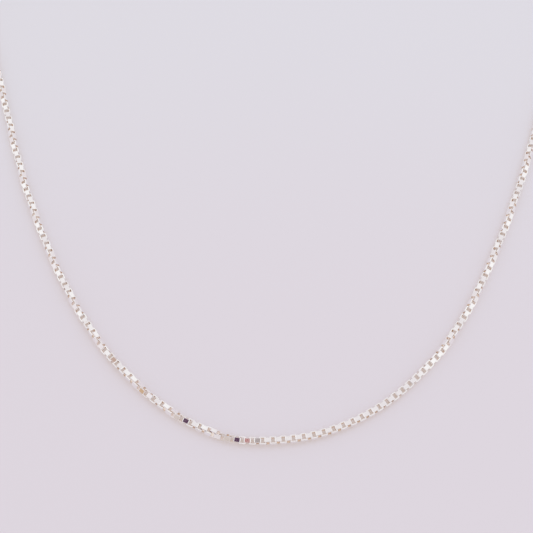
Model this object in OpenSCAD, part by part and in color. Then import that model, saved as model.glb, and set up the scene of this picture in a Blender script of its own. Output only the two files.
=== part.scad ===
// A box chain necklace in polished silver, laid out on a table as one closed loop.
// The chain is a plain tube of the links' outer size, and its two ends meet at a small bolt ring clasp.
// The table is z = 0, the front of the loop points to -y and the clasp is at the back, at +y.
// The origin is under the middle of the whole necklace.

/* [Loop] */
// Width of the loop, between the middle lines of its two sides
loop_w = 141; // [118:1:170]
// Depth of the loop, from the middle line of its front to that of its back
loop_l = 184; // [153:1:221]

/* [Chain] */
// Width of the square links, across their flats
chain_w = 1.5; // [1:0.05:2.4]
// Width of the flat strip that each link is bent from
strip_w = 0.86; // [0.5:0.02:1.2]

/* [Clasp] */
// Outer diameter of the bolt ring
ring_d = 5.8; // [4.6:0.1:8]
// Thickness of the bolt ring's tube
ring_wire = 1.2; // [0.9:0.05:1.6]
// Outer diameter of the eyelet that holds one end of the chain
eyelet_d = 2.2; // [1.8:0.1:3.2]
// Thickness of the eyelet's wire
eyelet_wire = 0.5; // [0.4:0.05:0.7]
// Width of the flat tag that holds the other end of the chain
tag_w = 2.4; // [2:0.1:3.2]
// Thickness of the tag
tag_t = 0.6; // [0.4:0.05:0.8]
// Diameter of the hole in the tag
tag_hole = 1.2; // [1:0.05:1.5]
// Diameter of the knob that pulls the bolt back
knob_d = 0.9; // [0.7:0.05:1.2]
// How far the knob stands out of the ring
knob_h = 0.7; // [0.4:0.05:1.2]

/* [Hidden] */

// Gap between each end of the chain and what it is linked to
end_gap = 0.15;
// How deep the eyelet sits in the ring where it is soldered on
solder = 0.3;
// Length of tag between the ring and the middle of the tag's hole
tag_neck = 1.6;

// A twisted chain sweeps out a round rod, whose radius is the distance to the corners of its strips
rod_r = norm([chain_w, strip_w]) / 2;
ring_r = (ring_d - ring_wire) / 2;
eyelet_r = (eyelet_d - eyelet_wire) / 2;
clasp_z = ring_wire / 2;

// Distances along x from the middle of the ring
eyelet_x = ring_d / 2 + eyelet_d / 2 - solder;
eyelet_end = eyelet_x + eyelet_d / 2;
tag_x = ring_d / 2 + tag_neck;
tag_end = tag_x + tag_w / 2;

// The whole necklace is centred on the origin from front to back
depth = rod_r + loop_l + ring_d / 2 + knob_h;
front_y = rod_r - depth / 2;
back_y = front_y + loop_l;

// The line of the chain on the table, from the eyelet round the left side, the front and the right side
// to the tag. Each row is [x, y]: x as a share of half the loop's width, y as a share of its depth
// from the front.
ROUTE = [
    [-0.395, 0.969],
    [-0.735, 0.873],
    [-0.950, 0.738],
    [-1.000, 0.610],
    [-0.934, 0.492],
    [-0.872, 0.419],
    [-0.807, 0.345],
    [-0.736, 0.273],
    [-0.651, 0.203],
    [-0.548, 0.136],
    [-0.422, 0.076],
    [-0.265, 0.027],
    [-0.078, 0.002],
    [0.123, 0.006],
    [0.307, 0.038],
    [0.459, 0.089],
    [0.579, 0.151],
    [0.673, 0.219],
    [0.756, 0.291],
    [0.829, 0.362],
    [0.906, 0.445],
    [0.987, 0.558],
    [0.987, 0.685],
    [0.832, 0.821],
    [0.480, 0.954],
];

// The rod has eight sides, and three rings between each two points of its line
SIDES = 8;
STEPS = 3;
$fn = 48;

line = concat(
    [[-eyelet_end - end_gap, back_y]],
    [for (share = ROUTE) [share[0] * loop_w / 2, front_y + share[1] * loop_l]],
    [[tag_end + end_gap, back_y]]
);

// Length of the stretch after point i of a line p
function chord(p, i) = norm(p[i + 1] - p[i]);

// Direction of the curve at point i: from the stretches on both sides of it, the shorter counting more,
// and square to the clasp, towards -x, at both ends
function slope(p, i) =
    i == 0 || i == len(p) - 1 ? [-1, 0]
    : let (before = chord(p, i - 1), after = chord(p, i))
      ((p[i] - p[i - 1]) * after / before + (p[i + 1] - p[i]) * before / after) / (before + after);

// Point of the curve at the share t of the stretch after point i
function curve_point(p, i, t) =
    let (h = chord(p, i), t2 = t * t, t3 = t2 * t)
    (2 * t3 - 3 * t2 + 1) * p[i]
    + (t3 - 2 * t2 + t) * h * slope(p, i)
    + (3 * t2 - 2 * t3) * p[i + 1]
    + (t3 - t2) * h * slope(p, i + 1);

// All points of the curve, with the last one added
function curve(p, steps) = concat(
    [for (i = [0 : len(p) - 2]) for (k = [0 : steps - 1]) curve_point(p, i, k / steps)],
    [p[len(p) - 1]]
);

// One ring of the rod, square to the curve c at its point i, with a flat side down
function rod_ring(c, i, r) =
    let (
        ahead = c[min(i + 1, len(c) - 1)] - c[max(i - 1, 0)],
        side = [ahead[1], -ahead[0]] / norm(ahead),
        corner_r = r / cos(180 / SIDES)
    )
    [for (k = [0 : SIDES - 1])
        let (turn = (k + 0.5) * 360 / SIDES, out = corner_r * cos(turn))
        [c[i][0] + out * side[0], c[i][1] + out * side[1], r + corner_r * sin(turn)]
    ];

module rod(c, r) {
    last = len(c) - 1;
    points = [for (i = [0 : last]) each rod_ring(c, i, r)];
    walls = [
        for (i = [0 : last - 1])
            for (k = [0 : SIDES - 1])
                let (
                    here = i * SIDES + k,
                    beside = i * SIDES + (k + 1) % SIDES,
                    ahead = here + SIDES,
                    across = beside + SIDES
                )
                each [[here, across, beside], [here, ahead, across]]
    ];
    start = [for (k = [0 : SIDES - 1]) k];
    end = [for (k = [SIDES - 1 : -1 : 0]) last * SIDES + k];
    polyhedron(points = points, faces = concat([start], walls, [end]));
}

module chain() {
    color("silver")
        rod(curve(line, STEPS), rod_r);
}

// A round ring of wire, lying flat
module wire_ring(r, wire) {
    rotate_extrude()
        translate([r, 0])
            circle(d = wire);
}

// The knob stands on the back of the ring and has a round end
module knob() {
    straight = knob_h - knob_d / 2;
    translate([0, ring_r, 0])
        rotate([-90, 0, 0]) {
            cylinder(d = knob_d, h = ring_wire / 2 + straight);
            translate([0, 0, ring_wire / 2 + straight])
                sphere(d = knob_d);
        }
}

// The tag is a flat plate with a round end and a hole for the last link
module tag() {
    difference() {
        union() {
            translate([ring_r, -tag_w / 2, -tag_t / 2])
                cube([tag_x - ring_r, tag_w, tag_t]);
            translate([tag_x, 0, -tag_t / 2])
                cylinder(d = tag_w, h = tag_t);
        }
        translate([tag_x, 0, -tag_t])
            cylinder(d = tag_hole, h = 2 * tag_t);
    }
}

module clasp() {
    color("silver")
        translate([0, back_y, clasp_z]) {
            wire_ring(ring_r, ring_wire);
            translate([-eyelet_x, 0, 0])
                wire_ring(eyelet_r, eyelet_wire);
            tag();
            knob();
        }
}

chain();
clasp();
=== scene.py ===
import bisect
import math
import random

import bpy
import bmesh
from mathutils import Matrix, Vector


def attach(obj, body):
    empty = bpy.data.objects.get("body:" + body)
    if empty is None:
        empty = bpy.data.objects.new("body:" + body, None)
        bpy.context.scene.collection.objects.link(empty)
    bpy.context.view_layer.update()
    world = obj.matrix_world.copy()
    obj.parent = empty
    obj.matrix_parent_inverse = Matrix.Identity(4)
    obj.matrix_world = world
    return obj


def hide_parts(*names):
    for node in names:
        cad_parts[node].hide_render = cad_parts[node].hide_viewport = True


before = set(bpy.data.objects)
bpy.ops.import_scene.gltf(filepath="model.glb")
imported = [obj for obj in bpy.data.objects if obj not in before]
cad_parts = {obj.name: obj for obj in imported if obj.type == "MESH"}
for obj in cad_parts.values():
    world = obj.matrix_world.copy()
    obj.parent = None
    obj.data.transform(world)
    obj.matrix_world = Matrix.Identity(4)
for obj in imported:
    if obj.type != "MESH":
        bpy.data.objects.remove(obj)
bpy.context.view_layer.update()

MM = 0.001
UP = Vector((0, 0, 1))

# The line of the chain, as the CAD model lays it: x as a share of half the loop's width, y as a share
# of its depth from the front, from the clasp's eyelet round the left side, the front and the right side
LOOP_WIDTH = 141 * MM
LOOP_DEPTH = 184 * MM
FRONT_Y = -93.368 * MM
ROUTE = [
    (-0.395, 0.969), (-0.735, 0.873), (-0.950, 0.738), (-1.000, 0.610), (-0.934, 0.492),
    (-0.872, 0.419), (-0.807, 0.345), (-0.736, 0.273), (-0.651, 0.203), (-0.548, 0.136),
    (-0.422, 0.076), (-0.265, 0.027), (-0.078, 0.002), (0.123, 0.006), (0.307, 0.038),
    (0.459, 0.089), (0.579, 0.151), (0.673, 0.219), (0.756, 0.291), (0.829, 0.362),
    (0.906, 0.445), (0.987, 0.558), (0.987, 0.685), (0.832, 0.821), (0.480, 0.954),
]
ROUTE_START_X = -4.95 * MM
ROUTE_END_X = 5.85 * MM
STEPS_BETWEEN_ROWS = 60

# Each link is a square ring of flat silver strip. The radii are those of its four bends and of the
# strip's outer edges.
LINK = 1.5 * MM
STRIP = 0.88 * MM
STRIP_T = 0.25 * MM
CORNER_R = 0.27 * MM
EDGE_R = 0.06 * MM

# The middles of the first and last links lie round the eyelet's wire and the tag's rim
LINKS = 507
FIRST_LINK = -0.15 * MM
PAST_END = 0.25 * MM

# How much the links vary in their roll, in degrees, and in their lean along the line, as a slope. One
# link at the front is rolled a little further.
ROLL_PLAY = 0.8
LEAN_PLAY = 0.015
LOOSE_LINK = 250
LOOSE_ROLL = 1.6

# How far the chain is rolled over at each distance along it, in millimetres and degrees. At 0 the holes
# of the even links look straight up, and the roll is towards the inside of the loop.
TWIST = [
    (0, -2070), (40.2, -1726), (80.4, -1378), (115.6, -1073), (142, -843), (146, -809), (148.3, -794),
    (154.4, -752), (159.7, -708), (162, -692), (166, -657), (169.7, -623), (174, -589), (178, -554),
    (180.6, -535), (186, -492), (191.1, -451), (194, -433), (198, -394), (202, -357), (206, -323),
    (210, -280), (212.5, -263), (218, -241), (222.2, -200), (226, -162), (230, -117), (232, -97),
    (234, -80), (238, -46), (242.3, -13), (245.4, -1), (248.2, 10), (252.1, 11), (254, 10),
    (259.8, 11), (262, 12), (265.7, 9), (269.6, 7), (274.5, 3), (279.5, -1), (282.4, -6),
    (284.4, -11), (286.4, -20), (288.4, -30), (290.4, -45), (294.5, -79), (299, -110), (302, -136),
    (304, -155), (306, -174), (309.6, -201), (314, -237), (316.8, -261), (322.5, -300), (326, -326),
    (329.6, -353), (334.8, -379), (338, -401), (341.6, -431), (374.7, -711), (409.8, -1000),
    (449.9, -1328), (497, -1710),
]

# How far the links have slid along the line from even spacing, in millimetres, at each distance along
# it. There is a little play between links, and they are bunched up here and drawn out there.
SLACK = [
    (0, -0.2), (20, 0.2), (60, 0.95), (120, 2.1), (150, 2.6), (163, 2.4), (172, 2), (185, 1.65),
    (195, 1.25), (202, 0.9), (209, 0.63), (216, 0.42), (222, 0.27), (232, 0.03), (245, -0.28),
    (258, -0.25), (268, -0.1), (277, -0.22), (286, -0.3), (295, -0.55), (303, -0.65), (312, -0.88),
    (322, -1.05), (335, -1), (360, -0.95), (420, -0.5), (480, 0), (497, 0.2),
]

# How far the chain lies outside its line, in millimetres, at each distance along it
STRAY = [
    (0, 0), (120, 0), (150, 0.1), (163, 0.15), (170, 0.07), (180, -0.04), (200, -0.09), (206, -0.05),
    (213, -0.08), (220, -0.2), (227, -0.22), (232, -0.06), (239, 0.2), (243, 0.17), (247, -0.02),
    (251, -0.15), (261, -0.15), (267, -0.05), (278, 0.02), (284, 0.06), (288, 0.15), (296, 0.1),
    (308, 0.05), (313, 0.12), (320, 0.2), (329, 0.26), (345, 0.15), (375, 0), (497, 0),
]

# The clasp, in millimetres and degrees round its middle. Its ring is a bent tube with a gap that faces
# the tag. A bolt slides in the tube and closes the gap, through the tag's eye.
CLASP_PLACE = Vector((0, 90.632, 0.6)) * MM
RING_R = 2.3
TUBE_R = 0.6
TUBE_BORE_R = 0.38
BORE_DEPTH = 20
GAP_HALF = 33

# The slot that the knob slides in: where round the ring it starts and ends, how many degrees of the
# tube's outer wall it may take up to each side, the width of its flat rim, how far its walls lean in,
# and its depth
SLOT = (84, 133)
SLOT_HALF = 20
SLOT_RIM = 0.03
SLOT_WALL = 0.02
SLOT_DEPTH = 0.25

# The bolt ends this many degrees inside the tube
BOLT_R = 0.3
BOLT_REACH = 14

# The knob on the bolt: distance from the ring's middle, and radius
KNOB = [
    (2.3, 0.2), (2.94, 0.2), (2.94, 0.34), (2.98, 0.42), (3.06, 0.45), (3.2, 0.45), (3.34, 0.41),
    (3.46, 0.33), (3.55, 0.21), (3.59, 0.1),
]

# The eyelet. Its wire swells where it is soldered on, by this factor within each of these distances.
EYELET_X = -3.7
EYELET_R = 0.85
EYELET_WIRE_R = 0.25
SOLDER_SWELL = 1.12
SOLDER_REACH = (0.75, 0.55, 0.4)

# The tag: its round end with its hole, the neck, which narrows by this factor towards the ring, and the
# eye that the bolt passes through
TAG_X = 4.5
TAG_R = 1.2
TAG_HOLE_R = 0.6
TAG_T = 0.4
TAG_RIM_R = 0.08
TAG_NARROWING = 0.62
TAG_EYE_R = 0.57
TAG_EYE_WALL = 0.16
TAG_EYE_W = 1.5
TAG_EYE_RIM_R = 0.04

# Soft patches in the room's light: the direction that each lies in, how many degrees from there it is
# full and where it ends, its share at full, and its colour
PATCHES = [
    ((0, 0.64, 0.77), 28, 58, 1.0, "#EBE7EA"),
    ((0.21, 0.83, 0.45), 8, 26, 0.6, "#FFFFFF"),
    ((0.77, -0.12, 0.62), 20, 45, 0.75, "#FFFFFF"),
    ((-0.6, 0.38, 0.7), 12, 35, 0.75, "#FFFFFF"),
]

# Coloured cards over the table, in millimetres: the lowest and highest x and y of each, and its colour
CARD_HEIGHT = 147
CARDS = [
    ("dark_card", (-69.7, -162), (-17, -108), "#5C4058"),
    ("pink_card", (-14.7, -103.9), (-7.7, -92.9), "#B06C69"),
    ("grey_card", (-8.7, -83.9), (3.3, -57.9), "#ADA2A2"),
    ("tan_card", (-296, -265), (-236, -205), "#CDAE90"),
    ("brown_card", (-54, -32), (-31, -4), "#C3A99D"),
]

# The sockets of a Mix node that hold its two colours and its result, which have no names of their own
MIX_A = 6
MIX_B = 7
MIX_RESULT = 2

random.seed(5)


def smooth_stretch(t, length, a, slope_a, b, slope_b):
    """Value at the share t of a smooth stretch, from its length and the value and slope at both ends."""
    t2, t3 = t * t, t * t * t
    return ((2 * t3 - 3 * t2 + 1) * a + (t3 - 2 * t2 + t) * length * slope_a
            + (3 * t2 - 2 * t3) * b + (t3 - t2) * length * slope_b)


def curve_point(before, start, end, after, t):
    """Point at the share t of the stretch from start to end, on the curve that the CAD's rod follows."""
    a, b = Vector(start), Vector(end)

    def slope(p, q, r):
        if p is None or r is None:
            return Vector((-1, 0))
        p, q, r = Vector(p), Vector(q), Vector(r)
        near, far = (q - p).length, (r - q).length
        return ((q - p) * far / near + (r - q) * near / far) / (near + far)

    slope_a, slope_b = slope(before, start, end), slope(start, end, after)
    return smooth_stretch(t, (b - a).length, a, slope_a, b, slope_b)


def chain_line():
    """Closely spaced points along the chain, with the distance along it at each."""
    back_y = FRONT_Y + LOOP_DEPTH
    points = [(ROUTE_START_X, back_y)]
    points += [(x * LOOP_WIDTH / 2, FRONT_Y + y * LOOP_DEPTH) for x, y in ROUTE]
    points += [(ROUTE_END_X, back_y)]
    spans = zip([None] + points[:-2], points[:-1], points[1:], points[2:] + [None])
    line = [curve_point(*span, k / STEPS_BETWEEN_ROWS)
            for span in spans for k in range(STEPS_BETWEEN_ROWS)]
    line.append(Vector(points[-1]))
    along = distances_along(line)
    ahead = [(b - a).normalized() for a, b in zip(line, line[1:])]
    ahead.append(ahead[-1])
    line = [spot + Vector((way.y, -way.x)) * read_table(STRAY, distance) * MM
            for spot, way, distance in zip(line, ahead, along)]
    return line, distances_along(line)


def distances_along(line):
    """Distance along a line of points at each of them."""
    along = [0.0]
    for here, ahead in zip(line, line[1:]):
        along.append(along[-1] + (ahead - here).length)
    return along


def place_on_line(line, along, distance):
    """Point and direction on the table at a distance along the chain, also a little past its ends."""
    i = min(max(bisect.bisect(along, distance) - 1, 0), len(line) - 2)
    step = line[i + 1] - line[i]
    ahead = step.normalized()
    spot = line[i] + ahead * (distance - along[i])
    return spot.to_3d(), ahead.to_3d()


def read_table(table, distance):
    """Smooth value of a table of (millimetres along the chain, value) at a distance along it."""
    mm = min(max(distance / MM, table[0][0]), table[-1][0])
    i = min(bisect.bisect([row[0] for row in table], mm), len(table) - 1)
    (a, value_a), (b, value_b) = table[i - 1], table[i]

    def rate(k):
        low, high = max(k - 1, 0), min(k + 1, len(table) - 1)
        return (table[high][1] - table[low][1]) / (table[high][0] - table[low][0])

    return smooth_stretch((mm - a) / (b - a), b - a, value_a, rate(i - 1), value_b, rate(i))


def resting_height(roll):
    """Height of the chain's middle over the table when it lies on its links' corners at this roll."""
    c, s = abs(math.cos(roll)), abs(math.sin(roll))
    half, rim = LINK / 2, STRIP / 2
    return max(half * c + rim * s, half * s + rim * c)


def linear(hex_colour):
    """Linear colour of an sRGB hex value."""
    shares = [int(hex_colour[i:i + 2], 16) / 255 for i in (1, 3, 5)]
    return [s / 12.92 if s <= 0.04045 else ((s + 0.055) / 1.055) ** 2.4 for s in shares] + [1.0]


def add_node(tree, kind, inputs=None, **settings):
    """Adds a node, sets its settings, and gives each named input its value or links it to a socket."""
    node = tree.nodes.new(kind)
    for name, value in settings.items():
        setattr(node, name, value)
    for name, value in (inputs or {}).items():
        if isinstance(value, bpy.types.NodeSocket):
            tree.links.new(value, node.inputs[name])
        else:
            node.inputs[name].default_value = value
    return node


def start_material(name):
    """A new material with an empty node tree, and its output node."""
    material = bpy.data.materials.new(name)
    material.use_nodes = True
    material.node_tree.nodes.clear()
    return material, add_node(material.node_tree, "ShaderNodeOutputMaterial")


def polished_silver(name, base, worn, roughness):
    """Sterling silver, stamped and then tumbled to a shine. Tumbling leaves the flats bright but never
    truly flat, with faint dents and hairline scratches that break up what they mirror."""
    material, output = start_material(name)
    tree = material.node_tree
    where = add_node(tree, "ShaderNodeTexCoord").outputs["Object"]
    # Dents and waves of about 0.6 mm
    waves = add_node(tree, "ShaderNodeTexNoise", {
        "Vector": where, "Scale": 1 / (0.6 * MM), "Detail": 2.0, "Roughness": 0.5})
    # Scratches, really a few hundredths of a millimetre wide, drawn at 0.12 mm so that they show
    scratches = add_node(tree, "ShaderNodeTexNoise", {
        "Vector": where, "Scale": 1 / (0.12 * MM), "Detail": 3.0, "Roughness": 0.6, "Distortion": 1.5})
    # Patches of about 1.4 mm that are worn a little duller
    patches = add_node(tree, "ShaderNodeTexNoise", {
        "Vector": where, "Scale": 1 / (1.4 * MM), "Detail": 3.0, "Roughness": 0.6})
    shade = add_node(tree, "ShaderNodeMapRange", {
        "Value": patches.outputs["Fac"], "From Min": 0.38, "From Max": 0.68})
    colour = add_node(tree, "ShaderNodeMix", {
        "Factor": shade.outputs["Result"], MIX_A: linear(base), MIX_B: linear(worn)}, data_type="RGBA")
    gloss = add_node(tree, "ShaderNodeMapRange", {
        "Value": scratches.outputs["Fac"], "From Min": 0.3, "From Max": 0.7,
        "To Min": roughness * 0.7, "To Max": roughness * 1.5})
    wavy = add_node(tree, "ShaderNodeBump", {
        "Height": waves.outputs["Fac"], "Strength": 0.5, "Distance": 0.004 * MM})
    scratched = add_node(tree, "ShaderNodeBump", {
        "Height": scratches.outputs["Fac"], "Normal": wavy.outputs["Normal"],
        "Strength": 0.25, "Distance": 0.003 * MM})
    metal = add_node(tree, "ShaderNodeBsdfPrincipled", {
        "Base Color": colour.outputs[MIX_RESULT], "Metallic": 1.0, "Roughness": gloss.outputs["Result"],
        "Normal": scratched.outputs["Normal"]})
    tree.links.new(metal.outputs["BSDF"], output.inputs["Surface"])
    return material


def paper_with_painted_glow(name, hex_colour, front_colour, glow):
    """Pale matte table top, faintly uneven, with a faint warm painted glow that fills its shadows.
    Towards the front it takes a trace of pink.
    """
    material, output = start_material(name)
    tree = material.node_tree
    where = add_node(tree, "ShaderNodeTexCoord").outputs["Object"]
    # Clouds of about 60 mm
    clouds = add_node(tree, "ShaderNodeTexNoise", {
        "Vector": where, "Scale": 1 / (60 * MM), "Detail": 2.0})
    base = linear(hex_colour)
    darker = [share * 0.985 for share in base[:3]] + [1.0]
    colour = add_node(tree, "ShaderNodeMix", {
        "Factor": clouds.outputs["Fac"], MIX_A: base, MIX_B: darker}, data_type="RGBA")
    place = add_node(tree, "ShaderNodeSeparateXYZ", {"Vector": where})
    front = add_node(tree, "ShaderNodeMapRange", {
        "Value": place.outputs["Y"], "From Min": 10 * MM, "From Max": -80 * MM},
        interpolation_type="SMOOTHSTEP")
    tinted = add_node(tree, "ShaderNodeMix", {
        "Factor": front.outputs["Result"], MIX_A: colour.outputs[MIX_RESULT],
        MIX_B: linear(front_colour)}, data_type="RGBA")
    # The glow is painted light: a warm fill that lifts the shade round the chain. The paper's own colour
    # is bluish, so that the shade the glow leaves reads warm.
    paper = add_node(tree, "ShaderNodeBsdfPrincipled", {
        "Base Color": tinted.outputs[MIX_RESULT], "Roughness": 0.8, "Emission Color": linear(glow),
        "Emission Strength": 1.0})
    tree.links.new(paper.outputs["BSDF"], output.inputs["Surface"])
    return material


def edit_parts(piece, kind, wanted):
    """Opens the piece in edit mode with only the edges or faces selected that the test wants."""
    bpy.context.view_layer.objects.active = piece
    bpy.ops.object.mode_set(mode="EDIT")
    bpy.ops.mesh.select_mode(type=kind)
    bpy.ops.mesh.select_all(action="DESELECT")
    mesh = bmesh.from_edit_mesh(piece.data)
    for part in mesh.edges if kind == "EDGE" else mesh.faces:
        part.select_set(bool(wanted(part)))
    bmesh.update_edit_mesh(piece.data)


def smooth_and_weigh(piece, angle=40, weight=50):
    """Smooth shading across curves, with flats kept flat right up to them."""
    bpy.ops.object.shade_smooth_by_angle(angle=math.radians(angle))
    weighted = piece.modifiers.new("even_flats", "WEIGHTED_NORMAL")
    weighted.keep_sharp = True
    weighted.weight = weight
    bpy.ops.object.modifier_apply(modifier=weighted.name)


def thicken(piece, thickness, offset):
    """Gives a surface its thickness, to both sides with the offset 0 and inwards with -1."""
    solid = piece.modifiers.new("thickness", "SOLIDIFY")
    solid.thickness = thickness
    solid.offset = offset
    bpy.ops.object.modifier_apply(modifier=solid.name)


def round_rims(piece, radius):
    """Rounds the sharp edges of a plate or wall."""
    rims = piece.modifiers.new("rims", "BEVEL")
    rims.width = radius
    rims.segments = 2
    rims.limit_method = "ANGLE"
    rims.angle_limit = math.radians(50)
    bpy.ops.object.modifier_apply(modifier=rims.name)


def join_pieces(pieces):
    """Joins finished shapes to one piece, the first."""
    bpy.ops.object.select_all(action="DESELECT")
    for piece in pieces:
        piece.select_set(True)
    bpy.context.view_layer.objects.active = pieces[0]
    bpy.ops.object.join()
    return bpy.context.object


def model_link(materials):
    """One link at the origin, along x, with its hole along z: a square ring bent from flat strip. It is
    modelled with a metre for each millimetre, because faces are weighed by their area at the end, and
    that can't tell very small ones apart."""
    size, strip = LINK / MM, STRIP / MM
    bpy.ops.object.select_all(action="DESELECT")
    bpy.ops.mesh.primitive_cube_add(size=1, scale=(size, size, strip))
    link = bpy.context.object
    link.name = "box_link"
    bpy.ops.object.transform_apply(location=False, rotation=False, scale=True)

    # The four bends
    edit_parts(link, "EDGE", lambda edge: abs(edge.verts[0].co.z - edge.verts[1].co.z) > strip / 2)
    bpy.ops.mesh.bevel(offset=CORNER_R / MM, offset_type="OFFSET", segments=2, affect="EDGES")

    # The hole, with the strip's thickness left round it
    edit_parts(link, "FACE", lambda face: abs(face.normal.z) > 0.9)
    bpy.ops.mesh.extrude_region_move()
    hole = 1 - 2 * STRIP_T / LINK
    bpy.ops.transform.resize(value=(hole, hole, 1), center_override=(0, 0, 0))
    bpy.ops.mesh.bridge_edge_loops()
    bpy.ops.mesh.select_all(action="SELECT")
    bpy.ops.mesh.normals_make_consistent(inside=False)

    # The strip's rounded outer edges
    def outer_rim(edge):
        walls = [face for face in edge.link_faces if abs(face.normal.z) < 0.1]
        if len(walls) != 1:
            return False
        middle = (edge.verts[0].co + edge.verts[1].co) / 2
        return middle.dot(walls[0].normal) > 0

    edit_parts(link, "EDGE", outer_rim)
    bpy.ops.mesh.bevel(offset=EDGE_R / MM, offset_type="OFFSET", segments=1, affect="EDGES")
    bpy.ops.object.mode_set(mode="OBJECT")

    # The inside of the ring keeps the white skin that tumbling doesn't reach
    for material in materials:
        link.data.materials.append(material)
    for face in link.data.polygons:
        inside = abs(face.normal.z) < 0.1 and face.center.dot(face.normal) < 0
        face.material_index = 1 if inside else 0
    smooth_and_weigh(link, angle=50, weight=100)
    return link


def link_place(k, line, along):
    """Where link k goes: on the line, rolled, and turned a quarter if it is odd."""
    spare = along[-1] - FIRST_LINK + PAST_END
    distance = FIRST_LINK + k * spare / (LINKS - 1)
    distance += read_table(SLACK, distance) * MM
    spot, ahead = place_on_line(line, along, distance)
    inward = UP.cross(ahead)
    roll = math.radians(read_table(TWIST, distance))
    spot.z = resting_height(roll)
    play = random.gauss(0, ROLL_PLAY) + (LOOSE_ROLL if k == LOOSE_LINK else 0)
    hole_roll = roll + (math.pi / 2 if k % 2 else 0) + math.radians(play)
    hole = math.cos(hole_roll) * UP + math.sin(hole_roll) * inward
    hole = (hole + random.gauss(0, LEAN_PLAY) * ahead).normalized()
    ahead = (ahead - ahead.dot(hole) * hole).normalized()
    across = hole.cross(ahead)
    turn = Matrix((ahead, across, hole)).transposed().to_4x4()
    return Matrix.Translation(spot) @ turn


def lay_chain(materials):
    """All the links, each a copy of the first, joined to one piece."""
    first = model_link(materials)
    line, along = chain_line()
    links = []
    for k in range(LINKS):
        link = first.copy()
        link.data = first.data.copy()
        link.matrix_world = link_place(k, line, along) @ Matrix.Scale(MM, 4)
        bpy.context.collection.objects.link(link)
        links.append(link)
    bpy.data.objects.remove(first)
    chain = join_pieces(links)
    chain.name = chain.data.name = "box_chain"
    bpy.ops.object.transform_apply(location=True, rotation=True, scale=True)
    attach(chain, "root")
    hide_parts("chain")


def ring_point(angle):
    """The middle of the bolt ring's tube at an angle round the ring, in degrees."""
    return RING_R * math.cos(math.radians(angle)), RING_R * math.sin(math.radians(angle)), 0


def bend_tube(name, tube_r, start, end, steps, sides):
    """A round tube bent round the z axis at the ring's radius, from one angle to another, in degrees.
    Spin turns clockwise, so its angle is negative."""
    bpy.ops.object.select_all(action="DESELECT")
    bpy.ops.mesh.primitive_circle_add(
        vertices=sides, radius=tube_r, location=ring_point(start),
        rotation=(math.pi / 2, 0, math.radians(start)))
    tube = bpy.context.object
    tube.name = name
    bpy.ops.object.transform_apply(location=True, rotation=True, scale=True)
    bpy.ops.object.mode_set(mode="EDIT")
    bpy.ops.mesh.select_all(action="SELECT")
    turn = math.radians(start) - math.radians(end)
    bpy.ops.mesh.spin(steps=steps, angle=turn, center=(0, 0, 0), axis=(0, 0, 1))
    bpy.ops.object.mode_set(mode="OBJECT")
    return tube


def degrees_round(point):
    """Angle of a point round the z axis, from 0 to 360 degrees."""
    return math.degrees(math.atan2(point.y, point.x)) % 360


def open_end_at(angle):
    """Test for the edges of a bent tube's open end at an angle, in degrees."""
    def wanted(edge):
        return edge.is_boundary and all(
            abs((degrees_round(vert.co) - angle + 180) % 360 - 180) < 1 for vert in edge.verts)
    return wanted


def open_bore(tube, at, turn):
    """Gives one end of the tube a rim and a bore that follows the bend."""
    edit_parts(tube, "EDGE", open_end_at(at))
    bpy.ops.mesh.extrude_region_move()
    share = TUBE_BORE_R / TUBE_R
    bpy.ops.transform.resize(value=(share, share, share), center_override=ring_point(at))
    bpy.ops.mesh.spin(steps=4, angle=-math.radians(turn), center=(0, 0, 0), axis=(0, 0, 1))
    bpy.ops.mesh.edge_face_add()
    bpy.ops.object.mode_set(mode="OBJECT")


def cut_slot(tube):
    """Sinks the slot that the knob slides in into the outer wall of the tube."""
    start, end = SLOT
    outermost = math.cos(math.radians(SLOT_HALF))

    def in_slot(face):
        middle = face.calc_center_median()
        out = Vector((middle.x, middle.y, 0)).normalized()
        return start < degrees_round(middle) < end and face.normal.dot(out) > outermost

    edit_parts(tube, "FACE", in_slot)
    bpy.ops.mesh.inset(thickness=SLOT_RIM, depth=0)
    bpy.ops.mesh.inset(thickness=SLOT_WALL, depth=-SLOT_DEPTH)
    bpy.ops.object.mode_set(mode="OBJECT")


def model_eyelet():
    """The small ring of wire beside the bolt ring, thicker where it is soldered on."""
    bpy.ops.object.select_all(action="DESELECT")
    bpy.ops.mesh.primitive_torus_add(
        major_radius=EYELET_R, minor_radius=EYELET_WIRE_R, major_segments=40, minor_segments=18,
        location=(EYELET_X, 0, 0))
    eyelet = bpy.context.object
    bpy.ops.object.transform_apply(location=True, rotation=False, scale=False)
    joint = Vector((EYELET_X + EYELET_R, 0, 0))
    for reach in SOLDER_REACH:
        edit_parts(eyelet, "EDGE", lambda edge: all(
            (vert.co - joint).length < reach for vert in edge.verts))
        bpy.ops.transform.resize(value=(SOLDER_SWELL, 1, SOLDER_SWELL), center_override=joint)
        bpy.ops.object.mode_set(mode="OBJECT")
    return eyelet


def place_on_clasp(piece, name, material):
    """Brings a piece that was modelled with a metre for each millimetre to its size and place."""
    bpy.ops.object.select_all(action="DESELECT")
    piece.select_set(True)
    bpy.context.view_layer.objects.active = piece
    bpy.ops.object.mode_set(mode="EDIT")
    bpy.ops.mesh.select_all(action="SELECT")
    bpy.ops.mesh.normals_make_consistent(inside=False)
    bpy.ops.object.mode_set(mode="OBJECT")
    smooth_and_weigh(piece)
    piece.name = piece.data.name = name
    piece.scale = (MM, MM, MM)
    piece.location = CLASP_PLACE
    bpy.ops.object.transform_apply(location=True, rotation=True, scale=True)
    piece.data.materials.clear()
    piece.data.materials.append(material)
    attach(piece, "root")
    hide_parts("clasp")


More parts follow.
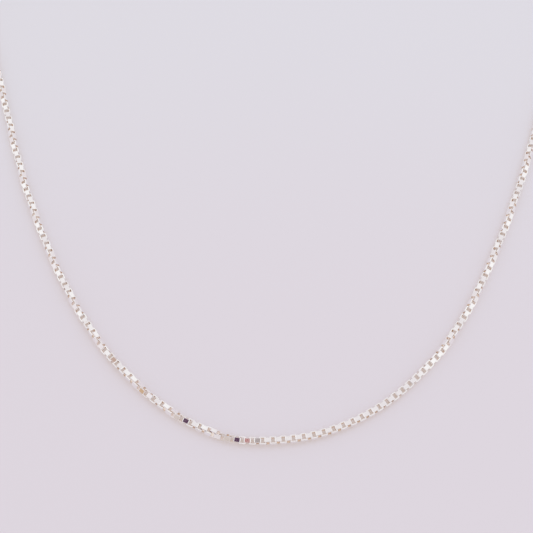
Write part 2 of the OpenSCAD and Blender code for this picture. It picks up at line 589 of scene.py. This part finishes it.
def make_bolt_ring(material):
    """The bent tube with its gap, bores and slot, and the eyelet beside it."""
    tube = bend_tube("bolt_ring", TUBE_R, GAP_HALF, 360 - GAP_HALF, steps=56, sides=32)
    open_bore(tube, GAP_HALF, BORE_DEPTH)
    open_bore(tube, -GAP_HALF, -BORE_DEPTH)
    cut_slot(tube)
    place_on_clasp(join_pieces([tube, model_eyelet()]), "bolt_ring", material)


def model_knob():
    """The knob that pulls the bolt back, drawn out of a disc ring by ring."""
    bpy.ops.object.select_all(action="DESELECT")
    first, radius = KNOB[0]
    bpy.ops.mesh.primitive_circle_add(
        vertices=24, radius=radius, fill_type="NGON", location=(0, first, 0),
        rotation=(math.pi / 2, 0, 0))
    knob = bpy.context.object
    bpy.ops.object.transform_apply(location=True, rotation=True, scale=True)
    bpy.ops.object.mode_set(mode="EDIT")
    bpy.ops.mesh.select_all(action="SELECT")
    for (before, r_before), (out, r) in zip(KNOB, KNOB[1:]):
        bpy.ops.mesh.extrude_region_move(TRANSFORM_OT_translate={"value": (0, out - before, 0)})
        bpy.ops.transform.resize(value=(r / r_before, 1, r / r_before), center_override=(0, out, 0))
    bpy.ops.object.mode_set(mode="OBJECT")
    return knob


def make_bolt(material):
    """The bolt that closes the gap, with its knob."""
    end = GAP_HALF + BOLT_REACH
    bolt = bend_tube("bolt", BOLT_R, -end, end, steps=20, sides=20)
    for angle in (-end, end):
        edit_parts(bolt, "EDGE", open_end_at(angle))
        bpy.ops.mesh.edge_face_add()
        bpy.ops.object.mode_set(mode="OBJECT")
    place_on_clasp(join_pieces([bolt, model_knob()]), "bolt", material)


def model_tag_plate():
    """The flat part of the tag: a round end with its hole, and a neck up to the eye."""
    bpy.ops.object.select_all(action="DESELECT")
    bpy.ops.mesh.primitive_circle_add(vertices=48, radius=TAG_R, location=(TAG_X, 0, 0))
    plate = bpy.context.object
    bpy.ops.object.transform_apply(location=True, rotation=False, scale=False)
    edit_parts(plate, "EDGE", lambda edge: True)
    bpy.ops.mesh.extrude_region_move()
    hole = TAG_HOLE_R / TAG_R
    bpy.ops.transform.resize(value=(hole, hole, 1), center_override=(TAG_X, 0, 0))
    bpy.ops.object.mode_set(mode="OBJECT")

    # The neck runs from the round end to the eye, and is a little narrower there
    def faces_eye(edge):
        middle = (edge.verts[0].co + edge.verts[1].co) / 2 - Vector((TAG_X, 0, 0))
        return edge.is_boundary and middle.length > 0.9 * TAG_R and middle.x < -0.3 * TAG_R

    edit_parts(plate, "EDGE", faces_eye)
    eye_side = RING_R + TAG_EYE_R - TAG_EYE_WALL / 2
    bpy.ops.mesh.extrude_region_move()
    bpy.ops.transform.resize(value=(0, TAG_NARROWING, 1), center_override=(eye_side, 0, 0))
    bpy.ops.object.mode_set(mode="OBJECT")
    thicken(plate, TAG_T, 0)
    round_rims(plate, TAG_RIM_R)
    return plate


def model_tag_eye():
    """The short tube at the end of the tag, which the bolt passes through."""
    bpy.ops.object.select_all(action="DESELECT")
    bpy.ops.mesh.primitive_cylinder_add(
        vertices=32, radius=TAG_EYE_R, depth=TAG_EYE_W, end_fill_type="NOTHING",
        location=(RING_R, 0, 0), rotation=(math.pi / 2, 0, 0))
    eye = bpy.context.object
    bpy.ops.object.transform_apply(location=True, rotation=True, scale=True)
    thicken(eye, TAG_EYE_WALL, -1)
    round_rims(eye, TAG_EYE_RIM_R)
    return eye


def make_tag(material):
    """The flat tag: a round end with a hole for the last link, and an eye round the bolt."""
    place_on_clasp(join_pieces([model_tag_plate(), model_tag_eye()]), "tag", material)


def lay_table():
    """The pale surface that the necklace lies on. Its faint warm glow is painted fill light that keeps
    the shadows soft and warm.
    """
    bpy.ops.object.select_all(action="DESELECT")
    bpy.ops.mesh.primitive_plane_add(size=4.0)
    table = bpy.context.object
    table.name = "table"
    table.data.materials.append(paper_with_painted_glow(
        "white paper with painted warm glow", hex_colour="#8EA5C1", front_colour="#8E9EBC", glow="#B39E89"))


def set_camera():
    """Looks down on the front of the loop, 67.5 degrees above the table, as the photo does."""
    aim = Vector((-1.029, -57.316, 0.86)) * MM
    away = 154.891 * MM
    elevation = math.radians(67.5)
    lean = math.radians(0.255)
    data = bpy.data.cameras.new("camera")
    data.lens = 50
    data.sensor_width = 36
    data.clip_start = 1 * MM
    camera = bpy.data.objects.new("camera", data)
    bpy.context.collection.objects.link(camera)
    spot = aim + away * Vector((0, -math.cos(elevation), math.sin(elevation)))
    turn = Matrix.Rotation(math.pi / 2 - elevation, 4, "X") @ Matrix.Rotation(lean, 4, "Z")
    camera.matrix_world = Matrix.Translation(spot) @ turn
    bpy.context.scene.camera = camera


def add_softbox(name, spot, size, glow):
    """A square lamp that faces the front of the loop, and that silver doesn't mirror. Its glow is its
    radiance."""
    data = bpy.data.lights.new(name, "AREA")
    data.shape = "SQUARE"
    data.size = size
    data.energy = glow * math.pi * size * size
    lamp = bpy.data.objects.new(name, data)
    bpy.context.collection.objects.link(lamp)
    lamp.location = spot
    aim = Vector((0, -0.05, 0))
    lamp.rotation_euler = (aim - Vector(spot)).to_track_quat("-Z", "Y").to_euler()
    lamp.visible_glossy = False


def room_colour(tree):
    """The colour of the room in each direction: pale, and dimmer towards the viewer and the horizon, with
    soft bright patches over the back, at the right and at the far left."""
    way = add_node(tree, "ShaderNodeTexCoord").outputs["Generated"]
    axes = add_node(tree, "ShaderNodeSeparateXYZ", {"Vector": way})
    near = add_node(tree, "ShaderNodeMapRange", {
        "Value": axes.outputs["Y"], "From Min": -0.1, "From Max": -0.75},
        interpolation_type="SMOOTHSTEP")
    room = add_node(tree, "ShaderNodeMix", {
        "Factor": near.outputs["Result"], MIX_A: linear("#EFE9ED"), MIX_B: linear("#D0C4BF")},
        data_type="RGBA")
    low = add_node(tree, "ShaderNodeMapRange", {
        "Value": axes.outputs["Z"], "From Min": 0.5, "From Max": 0.1},
        interpolation_type="SMOOTHSTEP")
    walls = add_node(tree, "ShaderNodeMix", {
        "Factor": low.outputs["Result"], MIX_A: room.outputs[MIX_RESULT], MIX_B: linear("#E5DEE2")},
        data_type="RGBA")
    colour = walls.outputs[MIX_RESULT]
    for towards, full, end, share, patch_colour in PATCHES:
        nearness = add_node(tree, "ShaderNodeVectorMath", {0: way, 1: Vector(towards).normalized()},
                            operation="DOT_PRODUCT")
        patch = add_node(tree, "ShaderNodeMapRange", {
            "Value": nearness.outputs["Value"], "From Min": math.cos(math.radians(end)),
            "From Max": math.cos(math.radians(full)), "To Max": share},
            interpolation_type="SMOOTHSTEP")
        lit = add_node(tree, "ShaderNodeMix", {
            "Factor": patch.outputs["Result"], MIX_A: colour, MIX_B: linear(patch_colour)},
            data_type="RGBA")
        colour = lit.outputs[MIX_RESULT]
    return colour


def light_scene():
    """Even room light, and two soft lamps that cast the faint shadow: one at the far right, and one high
    at the back that deepens it along the front of the loop."""
    scene = bpy.context.scene
    world = bpy.data.worlds.new("studio")
    scene.world = world
    world.use_nodes = True
    tree = world.node_tree
    tree.nodes.clear()
    sky = add_node(tree, "ShaderNodeBackground", {"Color": room_colour(tree), "Strength": 1.015})
    out = add_node(tree, "ShaderNodeOutputWorld")
    tree.links.new(sky.outputs["Background"], out.inputs["Surface"])
    add_softbox("far_right_lamp", (0.5, 0.35, 0.5), size=0.3, glow=1.2)
    add_softbox("high_back_lamp", (0.44, 0.78, 1.77), size=0.8, glow=2.22)
    scene.view_settings.view_transform = "Standard"
    scene.view_settings.look = "None"
    # Light bounces many times between the walls of the links
    scene.cycles.max_bounces = 24
    scene.cycles.glossy_bounces = 24


def hold_card(name, low, high, hex_colour):
    """A glowing card that only the silver mirrors, as a dark or coloured flat of one link or another."""
    bpy.ops.object.select_all(action="DESELECT")
    middle = ((low[0] + high[0]) / 2 * MM, (low[1] + high[1]) / 2 * MM, CARD_HEIGHT * MM)
    bpy.ops.mesh.primitive_plane_add(size=1, location=middle)
    card = bpy.context.object
    card.name = name
    card.scale = ((high[0] - low[0]) * MM, (high[1] - low[1]) * MM, 1)
    material, output = start_material(name)
    glow = add_node(material.node_tree, "ShaderNodeEmission", {"Color": linear(hex_colour)})
    material.node_tree.links.new(glow.outputs["Emission"], output.inputs["Surface"])
    card.data.materials.append(material)
    card.visible_camera = False
    card.visible_diffuse = False
    card.visible_shadow = False


set_camera()
light_scene()
lay_table()
for card in CARDS:
    hold_card(*card)
outside = polished_silver("polished silver", "#FCFBFA", "#F8F6F5", 0.07)
inside = polished_silver("white silver skin inside the links", "#FFF5E9", "#FCEFE1", 0.18)
lay_chain([outside, inside])
buffed = polished_silver("buffed silver of the clasp", "#F8F5F1", "#EFEAE4", 0.12)
make_bolt_ring(buffed)
make_bolt(buffed)
make_tag(buffed)
